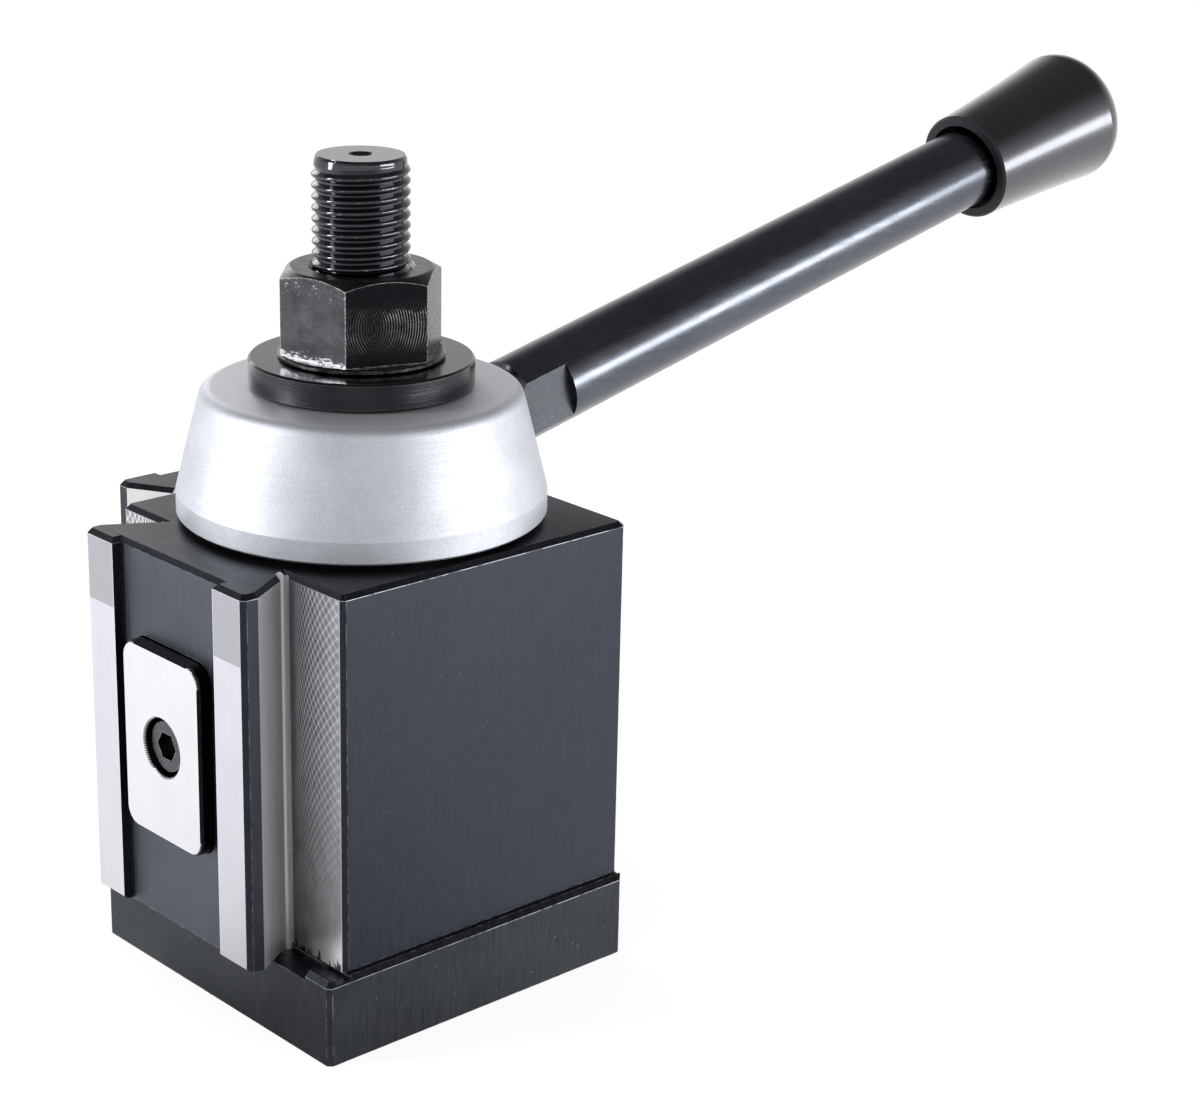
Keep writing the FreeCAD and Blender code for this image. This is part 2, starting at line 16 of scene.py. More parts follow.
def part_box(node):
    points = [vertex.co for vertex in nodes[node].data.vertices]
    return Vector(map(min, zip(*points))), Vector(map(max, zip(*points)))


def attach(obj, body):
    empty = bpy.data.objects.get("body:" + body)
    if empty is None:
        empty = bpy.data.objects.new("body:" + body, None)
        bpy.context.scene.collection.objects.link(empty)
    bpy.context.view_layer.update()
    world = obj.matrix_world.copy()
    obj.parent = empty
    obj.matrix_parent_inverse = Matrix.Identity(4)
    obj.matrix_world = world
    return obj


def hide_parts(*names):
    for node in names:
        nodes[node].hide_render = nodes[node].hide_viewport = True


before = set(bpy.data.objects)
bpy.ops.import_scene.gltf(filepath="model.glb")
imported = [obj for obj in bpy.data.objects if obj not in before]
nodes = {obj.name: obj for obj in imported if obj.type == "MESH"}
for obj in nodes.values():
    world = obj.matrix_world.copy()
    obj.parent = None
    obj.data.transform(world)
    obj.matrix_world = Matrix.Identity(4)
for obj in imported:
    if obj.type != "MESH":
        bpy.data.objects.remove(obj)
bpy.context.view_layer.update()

MM = 0.001
scene = bpy.context.scene

# %% [markdown]
# ## Helpers for materials
#
# A finish is written as a picture editor shows it, in sRGB hex, and Blender's shaders want linear
# light. One function turns the first into the second. Node trees grow long, so one more function
# adds a node with its settings and links, which keeps a whole material readable on one screen.

# %% Colour and node helpers
def linear(hex_text):
    """An sRGB hex colour as linear red, green, blue and an alpha of 1."""
    channels = [int(hex_text[i:i + 2], 16) / 255 for i in (1, 3, 5)]
    curve = [c / 12.92 if c < 0.04045 else ((c + 0.055) / 1.055) ** 2.4 for c in channels]
    return (*curve, 1.0)


def fill(node, inputs):
    """Sets a node's inputs: each is a plain value, or another node's output, which is linked."""
    for key, value in inputs.items() if isinstance(inputs, dict) else enumerate(inputs):
        if isinstance(value, bpy.types.NodeSocket):
            node.id_data.links.new(value, node.inputs[key])
        else:
            node.inputs[key].default_value = value


def add(tree, kind, inputs=(), out=0, **settings):
    """Adds a shader node, sets it up and gives back one of its outputs."""
    node = tree.nodes.new("ShaderNode" + kind)
    for name, value in settings.items():
        setattr(node, name, value)
    fill(node, inputs)
    return node.outputs[out]


def new_material(name):
    """A material with its node tree and its Principled shader."""
    material = bpy.data.materials.new(name)
    material.use_nodes = True
    tree = material.node_tree
    return material, tree, tree.nodes["Principled BSDF"]


print("middle grey is", round(linear("#808080")[0], 3), "in linear light")

# %% [markdown]
# ## Patterns with a real size
#
# Machined steel is never one flat colour. Its marks have a width and a length in millimetres, so
# each pattern below takes sizes and works out its own scale. Grain from grinding or blasting is
# really under 0.1 mm wide, which no pixel of the portrait shows, so it is drawn about half a
# millimetre wide. All patterns read the object's own coordinates, which stay put on the piece when
# it moves. Wear is found by comparing the surface's direction with that of a slightly rounded copy
# of it: the two differ only near a sharp edge.

# %% Patterns
def streaks(tree, size, detail=3.0, rough=0.55):
    """Noise from 0 to 1 whose blotches measure about size = (x, y, z) millimetres."""
    place = add(tree, "TexCoord", out="Object")
    scaled = add(tree, "Mapping", {"Vector": place, "Scale": [1 / (s * MM) for s in size]})
    return add(tree, "TexNoise", {"Vector": scaled, "Scale": 1.0, "Detail": detail, "Roughness": rough})


def rings(tree, pitch):
    """Circles round the post's upright axis, pitch millimetres apart, as a wave from -1 to 1."""
    place = add(tree, "TexCoord", out="Object")
    flat = add(tree, "VectorMath", [place, (1, 1, 0)], operation="MULTIPLY")
    away = add(tree, "VectorMath", [flat], out="Value", operation="LENGTH")
    phase = add(tree, "Math", [away, 2 * pi / (pitch * MM)], operation="MULTIPLY")
    return add(tree, "Math", [phase], operation="SINE")


def worn_edge(tree, width, sharpest=0.90):
    """1 along sharp edges, over about width millimetres, and 0 on flats.

    sharpest is the likeness of the two directions where it reaches 1: nearer 1 for blunt edges."""
    flat_likeness = 0.997
    rounded = add(tree, "Bevel", {"Radius": width * MM}, samples=4)
    true = add(tree, "NewGeometry", out="True Normal")
    same = add(tree, "VectorMath", [rounded, true], out="Value", operation="DOT_PRODUCT")
    return add(tree, "MapRange", [same, flat_likeness, sharpest, 0, 1])


print("patterns ready")

# %% [markdown]
# ## Camera
#
# The portrait was taken from above the post's front right corner with a long lens. The camera's
# place was found by fitting it to the block's edges, so it is written down as measured values. The
# camera was held a degree off level, which the roll repeats.

# %% Camera
azimuth, elevation, roll = radians(46.95), radians(18.81), radians(1.36)
camera_place = Vector((479.9, -373.7, 305.8)) * MM

back = Vector((sin(azimuth) * cos(elevation), -cos(azimuth) * cos(elevation), sin(elevation)))
level = Vector((cos(azimuth), sin(azimuth), 0))
upright = back.cross(level)
camera_right = level * cos(roll) + upright * sin(roll)
camera_up = upright * cos(roll) - level * sin(roll)

lens = bpy.data.cameras.new("portrait lens")
lens.lens, lens.sensor_width = 83.56, 36.0
camera = bpy.data.objects.new("camera", lens)
turn = Matrix((camera_right, camera_up, back)).transposed().to_4x4()
camera.matrix_world = Matrix.Translation(camera_place) @ turn
scene.collection.objects.link(camera)
scene.camera = camera
scene.view_settings.view_transform = "Standard"
print("camera", round(camera_place.length / MM), "mm from the origin")

# %% [markdown]
# ## Studio
#
# Bare metal shows what stands round it more than its own colour, so the studio is a pale floor in
# front of pale walls. What the camera and mirrors see of them is plain white, and less of that
# light falls on the object, so that the finishes keep their written colours. The ceiling is left
# dim, as in a real studio, and so is the floor at the end where the photographer stands: mirrors
# that face those turn dark, and that is what makes a black rod or washer look round. The floor
# glows a little less than white and adds a share of the light that falls on it, to hold a shadow.

# %% The floor's paper
floor_glow = 0.86         # of plain white, in the floor that the camera sees
floor_hold = "#8c8c8c"    # the share of the light on the floor that is added to that
camera_end = 0.25         # how bright reflections see the floor at the camera's end of the room
dims_from, dims_to = 0.25, 0.85     # that end, as cosines of the turn away from the camera


def seen_directly(tree):
    """1 for what the camera, a reflection or glass sees, 0 for light that falls on surfaces."""
    camera_ray = add(tree, "LightPath", out="Is Camera Ray")
    glossy_ray = add(tree, "LightPath", out="Is Glossy Ray")
    transmission_ray = add(tree, "LightPath", out="Is Transmission Ray")
    either = add(tree, "Math", [camera_ray, glossy_ray], operation="MAXIMUM")
    return add(tree, "Math", [either, transmission_ray], operation="MAXIMUM")


paper, tree, shader = new_material("white paper")
tree.nodes.remove(shader)
lit = add(tree, "BsdfDiffuse", {"Color": linear("#f2f2f2")})
bearing = add(tree, "VectorMath", [add(tree, "TexCoord", out="Object"), (1, 1, 0)], operation="MULTIPLY")
bearing = add(tree, "VectorMath", [bearing], operation="NORMALIZE")
nearer = add(tree, "VectorMath", [bearing, (sin(azimuth), -cos(azimuth), 0)], out="Value",
             operation="DOT_PRODUCT")
dim = add(tree, "MapRange", [nearer, dims_from, dims_to, 1, camera_end])
glossy_ray = add(tree, "LightPath", out="Is Glossy Ray")
shade = add(tree, "Mix", {0: glossy_ray, 2: 1.0, 3: dim})
glow = add(tree, "Math", [shade, floor_glow], operation="MULTIPLY")
plain = add(tree, "Emission", {"Color": linear("#ffffff"), "Strength": glow})
held = add(tree, "BsdfDiffuse", {"Color": linear(floor_hold)})
shown = add(tree, "AddShader", [plain, held])
fill(tree.nodes["Material Output"], {"Surface": add(tree, "MixShader", [seen_directly(tree), lit, shown])})
print("paper made")

# %% The floor
floor_reach = 3.0         # m from the floor's middle to its edges
floor_drop = 0.02         # mm under the post's foot, so that the two don't share a plane

sheet = bmesh.new()
bmesh.ops.create_grid(sheet, x_segments=1, y_segments=1, size=floor_reach)
bmesh.ops.translate(sheet, vec=(0, 0, -floor_drop * MM), verts=sheet.verts)
floor_mesh = bpy.data.meshes.new("floor")
sheet.to_mesh(floor_mesh)
sheet.free()
floor_mesh.materials.append(paper)
floor = bpy.data.objects.new("floor", floor_mesh)
scene.collection.objects.link(floor)
print("floor laid,", 2 * floor_reach, "m square")

# %% Walls and ceiling
sky_light = 0.55          # light that falls on the object from all round
ceiling = 0.14            # how bright reflections see the ceiling, where the walls are 1
walls_end, ceiling_starts = radians(10), radians(42)     # heights above the horizon

scene.world = bpy.data.worlds.new("studio")
scene.world.use_nodes = True
tree = scene.world.node_tree
tree.nodes.remove(tree.nodes["Background"])
falling = add(tree, "Background", {"Color": linear("#ffffff"), "Strength": sky_light})
height = add(tree, "SeparateXYZ", [add(tree, "TexCoord", out="Object")], out="Z")
walls = add(tree, "MapRange", [height, sin(walls_end), sin(ceiling_starts), 1, ceiling])
glossy_ray = add(tree, "LightPath", out="Is Glossy Ray")
mirrored = add(tree, "Mix", {0: glossy_ray, 2: 1.0, 3: walls})
shown = add(tree, "Background", {"Color": linear("#ffffff"), "Strength": mirrored})
sky = add(tree, "MixShader", [seen_directly(tree), falling, shown])
fill(tree.nodes["World Output"], {"Surface": sky})
print("walls and ceiling ready")

# %% Lamps
aimed_at = Vector((0, 0, 80)) * MM     # the middle of the post


def lamp(name, place, width, height, power):
    """A soft box at place, in metres, turned towards the middle of the post."""
    light = bpy.data.lights.new(name, "AREA")
    light.shape, light.size, light.size_y, light.energy = "RECTANGLE", width, height, power
    box = bpy.data.objects.new(name, light)
    box.location = place
    aim = aimed_at - Vector(place)
    box.rotation_euler = aim.to_track_quat("-Z", "Y").to_euler()
    scene.collection.objects.link(box)


lamp("left box", (-0.50, -0.95, 0.45), 0.2, 0.8, 7)
lamp("right strip", (1.05, 0.62, 0.17), 0.9, 0.26, 6.8)
lamp("back box", (-1.0, 0.27, 0.50), 0.5, 0.35, 1.2)
print("lamps lit")

# %% [markdown]
# ## Black oxide
#
# The block is milled steel, blackened in a hot salt bath. The oxide is a skin a thousandth of a
# millimetre thick, so the tool marks stay, and what the eye gets is a dark blue-grey metal with a
# satin shine. It wears through on sharp edges first. One function makes the finish for every
# blackened piece, and each piece says how dark, how shiny and how worn it is.

# %% Black oxide
bare_steel = "#c9ccd2"
dust = "#9ea2a8"


def black_oxide(name, dark, light, roughness, grain, edge_width, edge_wear,
                specks=0.0, relief=0.003, rubbed_at=None):
    """Blackened steel with tool marks whose size is grain = (x, y, z) millimetres.

    The marks are relief millimetres deep. Where it is given, rubbed_at is the height in
    millimetres of an edge that is rubbed to a bright line."""
    material, tree, shader = new_material(name)
    marks = streaks(tree, grain, 4.0)
    tone = add(tree, "Mix", {0: 0.4, 2: streaks(tree, (34, 34, 34), 2.0), 3: marks})
    tone = add(tree, "MapRange", [tone, 0.32, 0.68, 0, 1])
    colour = add(tree, "Mix", {0: tone, 6: linear(dark), 7: linear(light)}, 2, data_type="RGBA")
    dots = add(tree, "MapRange", [streaks(tree, (0.9, 0.9, 1.1), 1.0, 0.4), 0.735, 0.78, 0, specks])
    colour = add(tree, "Mix", {0: dots, 6: colour, 7: linear(dust)}, 2, data_type="RGBA")
    patches = add(tree, "MapRange", [streaks(tree, (2.2, 2.2, 2.2)), 0.42, 0.6, 0, edge_wear])
    worn = add(tree, "Math", [worn_edge(tree, edge_width), patches], operation="MULTIPLY")
    if rubbed_at is not None:
        height = add(tree, "SeparateXYZ", [add(tree, "TexCoord", out="Object")], out="Z")
        away = add(tree, "Math", [height, rubbed_at * MM], operation="SUBTRACT")
        away = add(tree, "Math", [away], operation="ABSOLUTE")
        line = add(tree, "MapRange", [away, 0.10 * MM, 0.22 * MM, 1, 0])
        gaps = add(tree, "MapRange", [streaks(tree, (5, 5, 5), 4.0, 0.7), 0.40, 0.52, 0.1, 0.95])
        line = add(tree, "Math", [line, gaps], operation="MULTIPLY")
        worn = add(tree, "Math", [worn, line], operation="MAXIMUM")
    colour = add(tree, "Mix", {0: worn, 6: colour, 7: linear(bare_steel)}, 2, data_type="RGBA")
    fill(shader, {
        "Base Color": colour,
        "Metallic": 1.0,
        "Roughness": add(tree, "MapRange", [marks, 0.3, 0.7, roughness - 0.05, roughness + 0.07]),
        "Normal": add(tree, "Bump", {"Height": marks, "Distance": relief * MM}),
    })
    return material


print("black oxide worn to", bare_steel)

# %% The block's blackened faces
block_low, block_high = [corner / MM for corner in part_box("post_body")]
body_high, foot_high = block_high.z, 20.2     # mm, the tops of the block and of its foot
top_bevel, foot_bevel = 1.1, 1.2              # mm down to the lower edges of their bevels

# The sides are an even blue-grey satin, with a bright line where the top bevel is rubbed.
body_black = black_oxide(
    "blackened milled steel", "#3e4249", "#41454d", 0.42, (1.6, 1.6, 8), 0.35, 0.5, specks=0.1,
    relief=0.0012, rubbed_at=body_high - top_bevel)

# The foot is rougher and darker, with specks of dust and a bright rim.
foot_black = black_oxide(
    "blackened milled foot", "#34383d", "#4a4d52", 0.46, (0.9, 0.9, 7), 0.3, 0.9, specks=0.35,
    rubbed_at=foot_high - foot_bevel)

# The channels are painted paler, as painted light, with upright lines from the cutter.
channel_black = black_oxide(
    "blackened milled channel", "#4b4f56", "#5e636c", 0.42, (0.8, 0.8, 16), 0.3, 0.6, specks=0.3)

# The top is smoother, so it mirrors the dim ceiling, and its colours are painted darker too, as painted
# shade.
top_black = black_oxide(
    "blackened ground top", "#2e3136", "#3c4046", 0.36, (16, 1.2, 3), 0.3, 0.3)
print("block", round(body_high, 1), "mm high, foot", foot_high, "mm")

# %% The plates' blackened edges and screws
# A plate's edge is an even black, which sets off its bright face.
plate_black = black_oxide(
    "blackened plate edge", "#1d1e20", "#2b2c2e", 0.3, (2, 2, 2), 0.15, 0.25)

# A screw is shiny and grainy, with its corners worn bright by the key.
screw_black = black_oxide(
    "blackened socket screw", "#3c3d41", "#66676c", 0.25, (0.7, 0.7, 0.7), 0.3, 1.0, specks=0.5,
    relief=0.05)
print("plate and screw finishes made")

# %% [markdown]
# ## Ground steel
#
# The tool holders bear on narrow strips, so these are ground after blackening. The eye gets a pale,
# even metal with a grain too fine to see one scratch at a time. A white rim is painted along the
# edges as a highlight of the edge that the wheel broke. Above a measured height the strips are
# drawn duller and greyer.

# %% Ground steel
strip_dull_above = 91.8   # mm
dull_blend = 0.1          # mm over which the duller band runs into the rest


def ground_steel(name, bright, shade):
    """Pale ground steel that wanders between two tones, duller near the block's top."""
    material, tree, shader = new_material(name)
    grain = streaks(tree, (0.5, 0.5, 7))
    tone = add(tree, "Mix", {0: 0.35, 2: streaks(tree, (9, 9, 16), 2.0), 3: grain})
    tone = add(tree, "MapRange", [tone, 0.30, 0.70, 0, 1])
    colour = add(tree, "Mix", {0: tone, 6: linear(shade), 7: linear(bright)}, 2, data_type="RGBA")
    height = add(tree, "SeparateXYZ", [add(tree, "TexCoord", out="Object")], out="Z")
    ends, starts = (strip_dull_above - dull_blend) * MM, (strip_dull_above + dull_blend) * MM
    upper = add(tree, "MapRange", [height, ends, starts, 0, 1])
    colour = add(tree, "Mix", {0: upper, 6: colour, 7: linear("#b1b1b8")}, 2, data_type="RGBA")
    # painted highlight: a white line along the edges
    rim = add(tree, "Math", [worn_edge(tree, 0.4, 0.97), 0.9], operation="MULTIPLY")
    colour = add(tree, "Mix", {0: rim, 6: colour, 7: linear("#ffffff")}, 2, data_type="RGBA")
    fill(shader, {
        "Base Color": colour,
        "Metallic": 1.0,
        "Roughness": add(tree, "MapRange", [grain, 0.3, 0.7, 0.36, 0.42]),
        "Normal": add(tree, "Bump", {"Height": grain, "Distance": 0.0009 * MM}),
    })
    return material


strip_steel = ground_steel("ground bearing strip", "#dedde4", "#d6d5dd")
plate_steel = ground_steel("ground plate face", "#eae9ef", "#e3e2e8")
print("strips duller above", strip_dull_above, "mm")

# %% [markdown]
# ## Milled shoulder
#
# The shoulder beside a dovetail is left as the milling cutter made it. The cutter is much wider
# than the wall and its teeth sweep over each spot twice, going in and coming out, so they leave
# two sets of arcs that start upright beside the notch and cross in long diamonds. Each set is one
# arc repeated up the wall: a spot's place in it is the spot's height plus or minus the height that
# the arc has gained there.

# %% Arcs that the cutter leaves
sweep_radius = 50.0       # mm, of the arc that one tooth leaves
sweep_start = 25.7        # mm from the post's middle to where the arcs start
sweep_feed = 2.67         # mm from one arc to the next
arcs_clear = 78.0         # mm, the height above which the arcs are at their clearest


def cutter_arcs(tree, height, along):
    """Bright lines where an arc passes, darker diamonds between, faint low on the wall."""
    inwards = add(tree, "Math", [along, (sweep_start + sweep_radius) * MM], operation="SUBTRACT")
    gained = add(tree, "Math", [inwards, inwards], operation="MULTIPLY")
    gained = add(tree, "Math", [(sweep_radius * MM) ** 2, gained], operation="SUBTRACT")
    gained = add(tree, "Math", [gained, 0.0], operation="MAXIMUM")
    gained = add(tree, "Math", [gained, 0.5], operation="POWER")
    waves = []
    for way in ("ADD", "SUBTRACT"):
        phase = add(tree, "Math", [height, gained], operation=way)
        phase = add(tree, "Math", [phase, 2 * pi / (sweep_feed * MM)], operation="MULTIPLY")
        waves.append(add(tree, "Math", [phase], operation="SINE"))
    going, coming = [add(tree, "MapRange", [wave, 0.5, 1, 0, 1]) for wave in waves]
    going_fades = add(tree, "MapRange", [height, 40 * MM, arcs_clear * MM, 0.1, 1])
    coming_fades = add(tree, "MapRange", [height, 36 * MM, arcs_clear * MM, 0.1, 1])
    going = add(tree, "Math", [going, going_fades], operation="MULTIPLY")
    crossed = add(tree, "Math", [coming, coming_fades, going], operation="MULTIPLY_ADD")
    cells = add(tree, "Math", waves, operation="ADD")
    cells = add(tree, "Math", [cells, coming_fades], operation="MULTIPLY")
    crossed = add(tree, "Math", [cells, 0.22, crossed], operation="MULTIPLY_ADD")
    starts = add(tree, "MapRange", [along, sweep_start * MM, (sweep_start + 1.2) * MM, 0, 1])
    flattens = add(tree, "MapRange", [along, 31 * MM, 42 * MM, 1.25, 0.5])
    starts = add(tree, "Math", [starts, flattens], operation="MULTIPLY")
    return add(tree, "Math", [crossed, starts], operation="MULTIPLY")


print("arcs of", sweep_radius, "mm radius,", sweep_feed, "mm apart")

# %% [markdown]
# ## A bright wedge and black spikes
#
# Above the foot a bright wedge is painted on the wall as a highlight, rising towards the wall's
# outer edge. Along the wall's foot black spikes rise a little way up. Both are masks in height and
# in the distance from the post's middle, roughened by noise.

# %% Bright wedge and black spikes
wedge_clear, wedge_ends = -19.0, -9.0     # mm, height less the distance from the middle
spikes_end = foot_high - 7.3              # mm, with the noise's own share taken off
shoulder_edge = 41.8                      # mm from the post's middle to the wall's outer edge


# painted highlight: a bright wedge painted on the shoulder above the foot
def painted_highlight_wedge(tree, height, along, wander):
    """Nearly 1 on the wedge and 0 above it, with a wandering upper edge."""
    slope = add(tree, "Math", [height, along], operation="SUBTRACT")
    slope = add(tree, "Math", [wander, -4 * MM, slope], operation="MULTIPLY_ADD")
    return add(tree, "MapRange", [slope, wedge_clear * MM, wedge_ends * MM, 0.95, 0])


def black_spikes(tree, height):
    """Nearly 1 in the spikes, whose tips are the peaks of a noise drawn out upwards."""
    teeth = streaks(tree, (0.8, 0.8, 6), 1.0)
    raised = add(tree, "Math", [teeth, -14 * MM, height], operation="MULTIPLY_ADD")
    return add(tree, "MapRange", [raised, spikes_end * MM, (spikes_end + 0.5) * MM, 0.9, 0])


print("wedge and spikes start at", foot_high, "mm")

# %% [markdown]
# ## The shoulder's metal
#
# The eye gets a bright, streaky grey that darkens towards the notch, because the wall sees less
# light there. The arcs, the wandering tone and a fine upright grain are added up, and the sum
# chooses a colour between dark and bright steel.

# %% Milled shoulder
def milled_shoulder():
    material, tree, shader = new_material("milled bright shoulder")
    place = add(tree, "TexCoord", out="Object")
    height = add(tree, "SeparateXYZ", [place], out="Z")
    level = add(tree, "VectorMath", [add(tree, "TexCoord", out="Normal"), (0, 0, 1)],
                operation="CROSS_PRODUCT")
    along = add(tree, "VectorMath", [place, level], out="Value", operation="DOT_PRODUCT")
    along = add(tree, "Math", [along], operation="ABSOLUTE")
    crossed = cutter_arcs(tree, height, along)
    wander = streaks(tree, (3, 3, 6), 4.0, 0.6)
    fine = streaks(tree, (0.4, 0.4, 5), 3.0)
    tone = add(tree, "MapRange", [along, 22 * MM, 42 * MM, 0.10, 0.38])
    for pattern, share in ((crossed, 0.36), (wander, 0.35), (fine, 0.25)):
        tone = add(tree, "Math", [pattern, share, tone], operation="MULTIPLY_ADD")
    tone = add(tree, "Math", [tone, 0.27], operation="SUBTRACT")
    # painted highlight: the wedge's tone is painted bright, and it is also rougher
    painted_wedge_light = painted_highlight_wedge(tree, height, along, wander)
    rim = add(tree, "MapRange", [along, (shoulder_edge - 0.3) * MM, shoulder_edge * MM, 0, 0.8])
    for brighter in (painted_wedge_light, rim):
        tone = add(tree, "Math", [tone, brighter], operation="MAXIMUM")
    low, high = linear("#66676c"), linear("#f0f0f3")
    colour = add(tree, "Mix", {0: tone, 6: low, 7: high}, 2, data_type="RGBA")
    spikes, black = black_spikes(tree, height), linear("#1c1d20")
    roughness = add(tree, "MapRange", [wander, 0.3, 0.7, 0.26, 0.38])
    fill(shader, {
        "Base Color": add(tree, "Mix", {0: spikes, 6: colour, 7: black}, 2, data_type="RGBA"),
        "Metallic": 1.0,
        "Roughness": add(tree, "Math", [painted_wedge_light, 0.35, roughness], operation="MULTIPLY_ADD"),
        "Normal": add(tree, "Bump", {"Height": crossed, "Distance": 0.008 * MM}),
    })
    return material


bright_shoulder = milled_shoulder()
print(bright_shoulder.name, "made")

# %% [markdown]
# ## Milled flank
#
# The sloping flank was cut by the cutter's side, which leaves it smoother than the shoulder. The
# eye gets a pale metal with faint lines along the cut, a little darker towards the top.

# %% Milled flank
def milled_flank():
    material, tree, shader = new_material("milled bright flank")
    lines = streaks(tree, (0.5, 0.5, 26), 3.0)
    height = add(tree, "SeparateXYZ", [add(tree, "TexCoord", out="Object")], out="Z")
    tone = add(tree, "MapRange", [height, 20 * MM, body_high * MM, 1.0, 0.7])
    tone = add(tree, "Math", [lines, 0.5, tone], operation="MULTIPLY_ADD")
    tone = add(tree, "Math", [tone, 0.25], operation="SUBTRACT")
    low, high = linear("#ceced3"), linear("#fbfbfc")
    fill(shader, {
        "Base Color": add(tree, "Mix", {0: tone, 6: low, 7: high}, 2, data_type="RGBA"),
        "Metallic": 1.0,
        "Roughness": add(tree, "MapRange", [lines, 0.3, 0.7, 0.40, 0.48]),
        "Normal": add(tree, "Bump", {"Height": lines, "Distance": 0.002 * MM}),
    })
    return material


bright_flank = milled_flank()
print(bright_flank.name, "made")

# %% [markdown]
# ## Finishing the block face by face
#
# The block is one solid with several finishes. Instead of cutting it up, its faces are sorted by
# where they lie and which way they point, and each gets a material slot. A face keeps its place,
# so the model isn't changed. The side dovetail is the front one mirrored, so swapping x and y
# lets one test serve for both.

# %% Sorting faces into finishes
def finish_faces(name, finishes):
    """Gives each face of a node the first finish whose test it passes."""
    mesh = nodes[name].data
    mesh.materials.clear()
    for material, test in finishes:
        mesh.materials.append(material)
    counts = [0] * len(finishes)
    for face in mesh.polygons:
        centre = face.center / MM
        chosen = next(i for i, (material, test) in enumerate(finishes) if test(centre, face.normal))
        face.material_index = chosen
        counts[chosen] += 1
    print(name, dict(zip([material.name for material, test in finishes], counts)))


def anything(centre, normal):
    return True


def on_either_side(test):
    """Makes a test of the front dovetail's faces take the side dovetail's as well."""
    def both(centre, normal):
        swapped_centre = Vector((centre.y, centre.x, centre.z))
        swapped_normal = Vector((normal.y, normal.x, normal.z))
        return test(centre, normal) or test(swapped_centre, swapped_normal)
    return both


# %% The block's finishes
strip_face = block_low.y                          # mm along y, the front dovetail's outer face
channel_floor, shoulder_face = -53.0, -39.0       # mm along y
channel_half = 19.1                               # mm, half the channel's width
notch_from, notch_to = 19.5, 29.9                 # mm aside, where the flanks lie
tip_back = -51.2                                  # mm along y, where a flank meets its tip
close = 0.05                                      # mm, how near a face lies to its plane


def is_strip(centre, normal):
    return normal.y < -0.99 and centre.y < strip_face + close


def is_shoulder(centre, normal):
    return abs(centre.y - shoulder_face) < 0.06 and normal.y < -0.99 and centre.z > foot_high - 1.5


def is_flank(centre, normal):
    if abs(normal.z) > 0.3 or centre.z < foot_high - 1.5:
        return False
    return notch_from < abs(centre.x) < notch_to and tip_back - close < centre.y < shoulder_face + 0.6


def is_channel(centre, normal):
    on_floor = abs(centre.y - channel_floor) < close and abs(centre.x) < channel_half
    return on_floor and normal.y < -0.99


def is_foot(centre, normal):
    return centre.z < foot_high - 0.3 and abs(normal.z) < 0.9


def is_top(centre, normal):
    on_top = normal.z > 0.9 and centre.z > body_high - 1
    on_bevel = 0.3 < normal.z < 0.9 and (centre.z > body_high - 1.2 or abs(centre.z - foot_high) < 1.1)
    return on_top or on_bevel


finish_faces("post_body", [
    (strip_steel, on_either_side(is_strip)),
    (bright_shoulder, on_either_side(is_shoulder)),
    (bright_flank, on_either_side(is_flank)),
    (channel_black, on_either_side(is_channel)),
    (top_black, is_top),
    (foot_black, is_foot),
    (body_black, anything),
])

# %% The locking plates' finishes
def is_plate_front(centre, normal):
    return min(normal.x, normal.y) < -0.3 and min(centre.x, centre.y) < strip_face - 1.0


for side in ("front", "side"):
    finish_faces(side + "_piston_plate", [(plate_steel, is_plate_front), (plate_black, anything)])
    finish_faces(side + "_piston_screw", [(screw_black, anything)])

# %% [markdown]
# ## Satin aluminium cap
#
# The cap is turned from aluminium and bead blasted. The eye gets a pale, even satin with a fine
# sparkle. The lathe's feed can still just be seen as rings on its top, and on its side as level
# lines. Its top is painted brighter than its side, as painted light: the tone rises where it faces up.

# %% Cap
ring_pitch = 0.5          # mm, coarser than the real feed so that it shows
blast_grain = 0.45        # mm, coarser than the real dents for the same reason


def satin_aluminium():
    material, tree, shader = new_material("satin turned aluminium")
    feed = rings(tree, ring_pitch)
    lines = streaks(tree, (60, 60, 0.5), 2.0)
    blasted = streaks(tree, (blast_grain, blast_grain, blast_grain), 2.0)
    cloud = add(tree, "Mix", {0: 0.55, 2: streaks(tree, (12, 12, 9)), 3: blasted})
    cloud = add(tree, "MapRange", [cloud, 0.35, 0.65, 0, 1])
    low, high = linear("#c9cdd4"), linear("#dde0e6")
    colour = add(tree, "Mix", {0: cloud, 6: low, 7: high}, 2, data_type="RGBA")
    upward = add(tree, "SeparateXYZ", [add(tree, "TexCoord", out="Normal")], out="Z")
    # painted light: the tone is painted lighter where the cap faces up
    painted_top_light = add(tree, "MapRange", [upward, 0.85, 1.0, 0, 1])
    colour = add(tree, "Mix", {0: painted_top_light, 6: colour, 7: linear("#f4f6fa")}, 2, data_type="RGBA")
    under = add(tree, "Bump", {"Height": feed, "Distance": 0.0006 * MM})
    turned = add(tree, "Bump", {"Height": lines, "Distance": 0.002 * MM, "Normal": under})
    fill(shader, {
        "Base Color": colour,
        "Metallic": 1.0,
        "Roughness": add(tree, "MapRange", [lines, 0.3, 0.7, 0.56, 0.62]),
        "Normal": add(tree, "Bump", {"Height": blasted, "Distance": 0.03 * MM, "Normal": turned}),
    })
    return material


finish_faces("top_cap", [(satin_aluminium(), anything)])

# %% [markdown]
# ## Handle
#
# The rod is polished bar, blackened and oiled, so it mirrors the lamps as one long streak. Its two
# flats were milled after that and show a greyer, duller grain. They are told apart from the round
# by how far they lie from the rod's axis, so the axis is built from the angles it was measured at.

